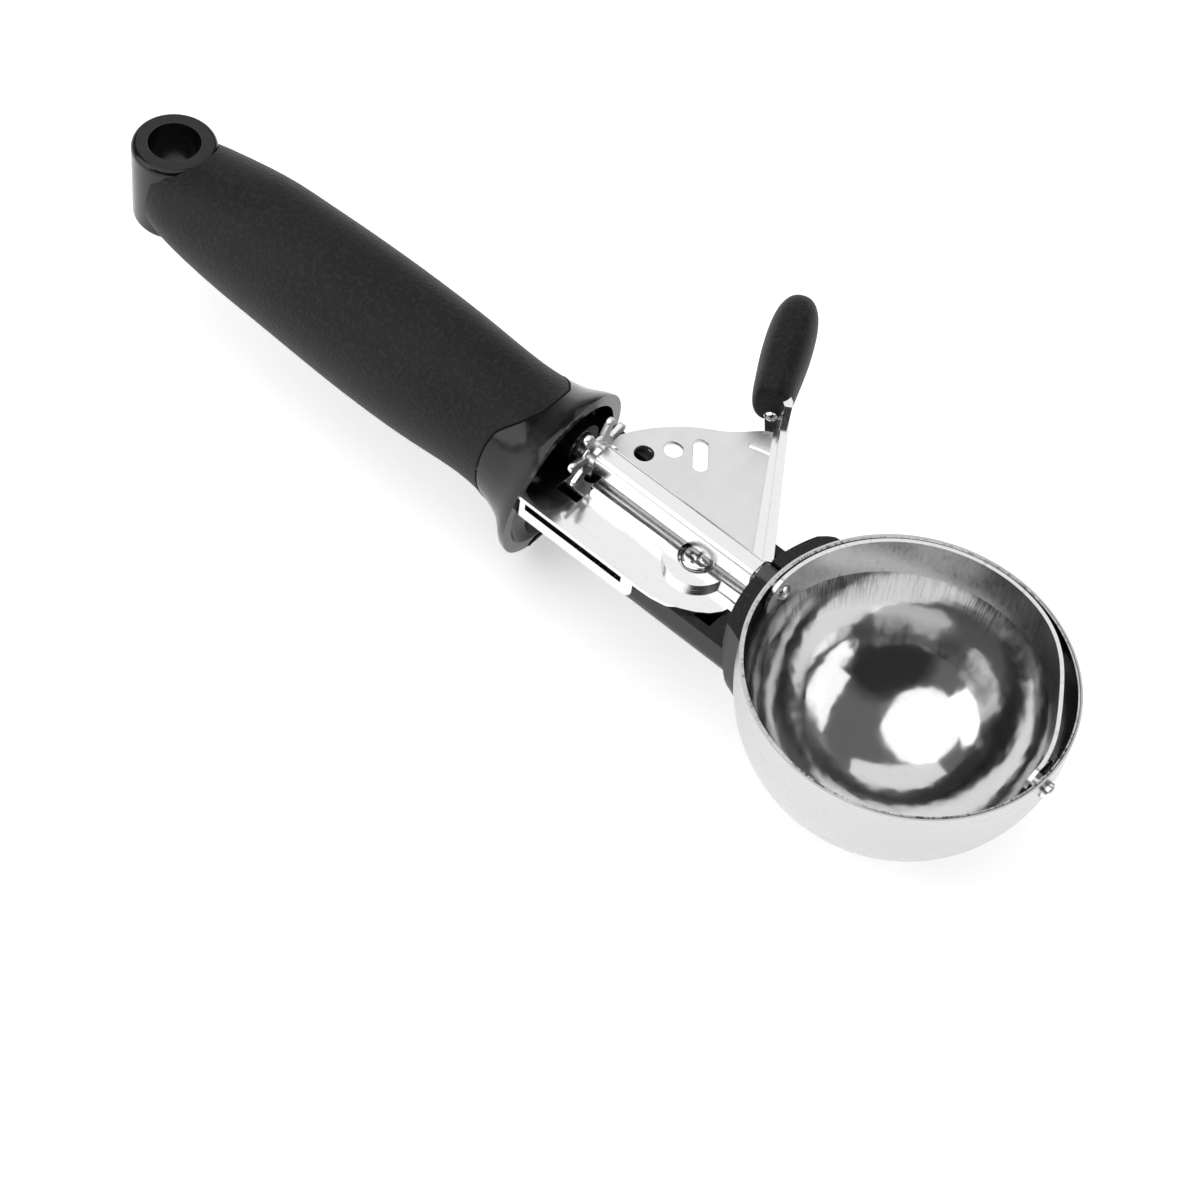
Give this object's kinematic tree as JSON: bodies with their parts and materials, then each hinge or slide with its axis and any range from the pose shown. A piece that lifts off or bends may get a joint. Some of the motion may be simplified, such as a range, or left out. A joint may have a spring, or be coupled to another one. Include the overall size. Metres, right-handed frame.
{
  "type": "lever ice cream scoop",
  "caption": "Lever ice cream scoop: steel bowl, sweeping scraper blade, thumb lever with rack plate and star wheel, soft-grip handle with a hanging ring.",
  "frame": {"origin": "On the hanging ring's axis, in the ring's top face", "axes": "+X from the handle's butt to the tip of the bowl, +Y towards the thumb lever's side, +Z out of the bowl's mouth"},
  "size_m": [0.2133, 0.0857, 0.0436],
  "materials": {
    "polished_steel": "mirror polished stainless sheet",
    "bright_steel": "bright turned or drawn steel",
    "brushed_strip": "brushed stainless strip",
    "plated_steel": "nickel chrome plated stamping",
    "bush_plastic": "acetal bush",
    "soft_black": "soft matte moulded elastomer",
    "satin_black": "satin moulded plastic",
    "gloss_black": "gloss moulded plastic",
    "turned_brass": "turned brass"
  },
  "bodies": {
    "handle": {"bowl": "polished_steel", "rear_shaft_bush": "bush_plastic", "front_shaft_bush": "bush_plastic", "frame_plate": "plated_steel", "neck_cradle": "satin_black", "pivot_screw": "bright_steel", "pivot_bush": "turned_brass", "pivot_washer": "bright_steel", "pivot_insert": "turned_brass", "return_spring": "bright_steel", "tang_screws": "bright_steel", "handle_core": "gloss_black", "grip_sleeve": "soft_black"},
    "lever": {"sector_plate": "brushed_strip", "lever_arm": "plated_steel", "lever_rivet": "bright_steel", "thumb_pad": "soft_black"},
    "scraper": {"tip_pin": "bright_steel", "scraper_blade": "brushed_strip", "scraper_shaft": "plated_steel", "shaft_rivet": "bright_steel", "star_wheel": "plated_steel", "shaft_collar": "bright_steel"}
  },
  "joints": [
    {"name": "lever_press", "type": "hinge", "parent": "handle", "child": "lever", "pos_m": [0.13065, -0.00225, -0.0052], "axis": [0, 0, 1], "range_deg": [0, 38], "stiffness_Nm_per_rad": 0.05, "springref_deg": -34.38, "deforming": ["return_spring"]},
    {"name": "shaft_spin", "type": "hinge", "parent": "handle", "child": "scraper", "pos_m": [0.1743, 0, 0.0011], "axis": [1, 0, 0], "range_deg": [-162, 0]}
  ],
  "couplings": [
    {"joint": "shaft_spin", "follows": "lever_press", "ratio": -4.2503}
  ]
}
